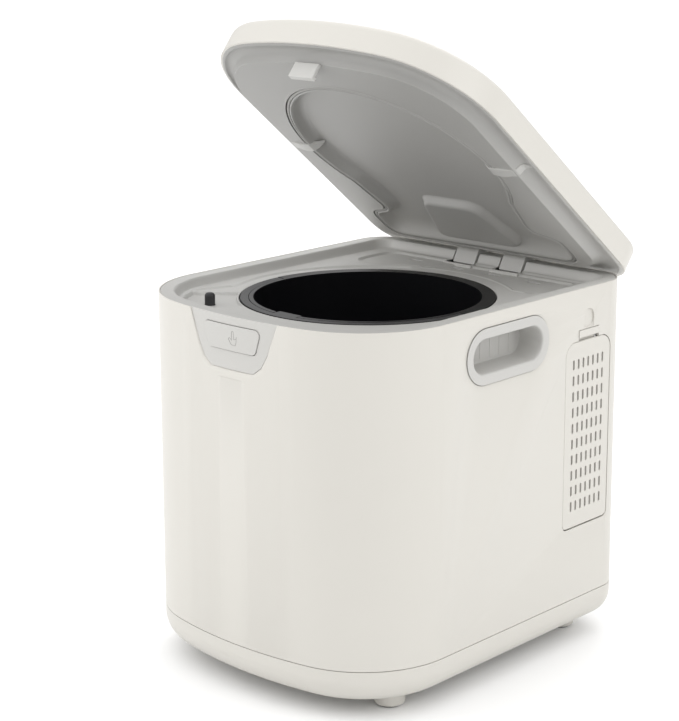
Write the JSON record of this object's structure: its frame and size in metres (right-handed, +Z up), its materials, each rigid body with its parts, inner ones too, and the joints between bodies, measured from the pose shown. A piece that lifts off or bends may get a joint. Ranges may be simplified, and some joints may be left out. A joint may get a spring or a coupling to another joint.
{
  "type": "electric food waste composter",
  "caption": "Countertop electric food waste composter with a hinged lid, lift-out bucket, geared stirrer and filter cover.",
  "frame": {"origin": "on the floor under the middle of the machine as it stands with its lid open", "axes": "+Z up, -Y towards the front with the opening button, +X towards the side with the filter cover"},
  "size_m": [0.2816, 0.3517, 0.5292],
  "materials": {
    "cream_shell": "satin moulded plastic",
    "deck_grey": "fine matt plastic",
    "bezel_grey": "fine matt plastic",
    "bucket_black": "glossy dark coating",
    "bail_grey": "matt plastic",
    "rubber_dark": "soft rubber",
    "dark_plastic": "matt plastic",
    "steel": "brushed",
    "aluminium": "plain",
    "brass": "machined",
    "gear_white": "acetal",
    "board_green": "coated board",
    "filter_felt": "carbon felt"
  },
  "bodies": {
    "cabinet": {"body_shell": "cream_shell", "base_shell": "cream_shell", "feet": "cream_shell", "foot_pads": "rubber_dark", "base_screws": "steel", "top_deck": "deck_grey", "well_gasket": "rubber_dark", "well_sleeve": "aluminium", "heater_band": "steel", "thermostat": "dark_plastic", "handle_cup_left": "bezel_grey", "handle_cup_right": "bezel_grey", "front_bezel": "bezel_grey", "button_spring": "steel", "latch_housing": "dark_plastic", "lid_switch": "dark_plastic", "plunger_spring": "steel", "hinge_pins": "steel", "hinge_brackets": "steel", "gearbox_housing": "dark_plastic", "gearbox_cover": "dark_plastic", "output_bearing": "brass", "motor": "steel", "filter_bay": "dark_plastic", "filter_cartridge": "filter_felt", "fan_housing": "dark_plastic", "exhaust_duct": "dark_plastic", "control_board": "board_green", "power_inlet": "dark_plastic"},
    "lid": {"lid_shell": "cream_shell", "lid_liner": "deck_grey", "lid_seal": "rubber_dark", "lid_duct_cover": "deck_grey", "lid_hook": "deck_grey", "lid_clips": "deck_grey", "hinge_arms": "deck_grey"},
    "button": {"open_button": "bezel_grey", "latch_slide": "dark_plastic"},
    "switch": {"lid_switch_plunger": "bail_grey"},
    "pail": {"bucket": "bucket_black", "bucket_bushing": "brass"},
    "bail": {"bucket_handle": "bail_grey"},
    "mixer": {"stirrer": "steel"},
    "drive": {"drive_coupling": "steel", "output_gear": "gear_white"},
    "layshaft": {"intermediate_gear": "gear_white"},
    "pinion": {"motor_pinion": "brass"},
    "door": {"filter_cover": "cream_shell"},
    "door_latch": {"filter_cover_latch": "bezel_grey"},
    "fan": {"fan_rotor": "dark_plastic"}
  },
  "joints": [
    {"name": "lid_hinge", "type": "hinge", "parent": "cabinet", "child": "lid", "pos_m": [0, 0.14959, 0.298], "axis": [-1, 0, 0], "range_deg": [-39, 46]},
    {"name": "button_press", "type": "slide", "parent": "cabinet", "child": "button", "axis": [0, 1, 0], "range_m": [0, 0.0025], "stiffness_N_per_m": 400, "springref_m": -0.003},
    {"name": "lid_switch_press", "type": "slide", "parent": "cabinet", "child": "switch", "axis": [0, 0, -1], "range_m": [0, 0.004], "stiffness_N_per_m": 150, "springref_m": -0.003, "deforming": ["plunger_spring"]},
    {"name": "bucket_lift", "type": "slide", "parent": "cabinet", "child": "pail", "axis": [0, 0, 1], "range_m": [0, 0.04]},
    {"name": "bail_swing", "type": "hinge", "parent": "pail", "child": "bail", "pos_m": [0, -0.01841, 0.30035], "axis": [-1, 0, 0], "range_deg": [0, 95]},
    {"name": "stirrer_spin", "type": "hinge", "parent": "pail", "child": "mixer", "pos_m": [0, -0.01841, 0.1122], "axis": [0, 0, 1], "continuous": true},
    {"name": "drive_spin", "type": "hinge", "parent": "cabinet", "child": "drive", "pos_m": [0, -0.01841, 0.068], "axis": [0, 0, 1], "continuous": true},
    {"name": "layshaft_spin", "type": "hinge", "parent": "cabinet", "child": "layshaft", "pos_m": [-0.036, -0.01841, 0.068], "axis": [0, 0, 1], "continuous": true},
    {"name": "motor_spin", "type": "hinge", "parent": "cabinet", "child": "pinion", "pos_m": [-0.072, -0.01841, 0.068], "axis": [0, 0, 1], "continuous": true},
    {"name": "filter_cover_hinge", "type": "hinge", "parent": "cabinet", "child": "door", "pos_m": [0.1388, 0.09784, 0.1086], "axis": [0, 1, 0], "range_deg": [0, 60]},
    {"name": "filter_cover_latch_slide", "type": "slide", "parent": "door", "child": "door_latch", "axis": [0, 0, -1], "range_m": [0, 0.0026], "stiffness_N_per_m": 300, "springref_m": -0.002},
    {"name": "fan_spin", "type": "hinge", "parent": "cabinet", "child": "fan", "pos_m": [0.062, 0.12109, 0.253], "axis": [1, 0, 0], "continuous": true}
  ],
  "couplings": [
    {"joint": "stirrer_spin", "follows": "drive_spin", "ratio": 1},
    {"joint": "layshaft_spin", "follows": "drive_spin", "ratio": -3},
    {"joint": "motor_spin", "follows": "drive_spin", "ratio": 9}
  ]
}
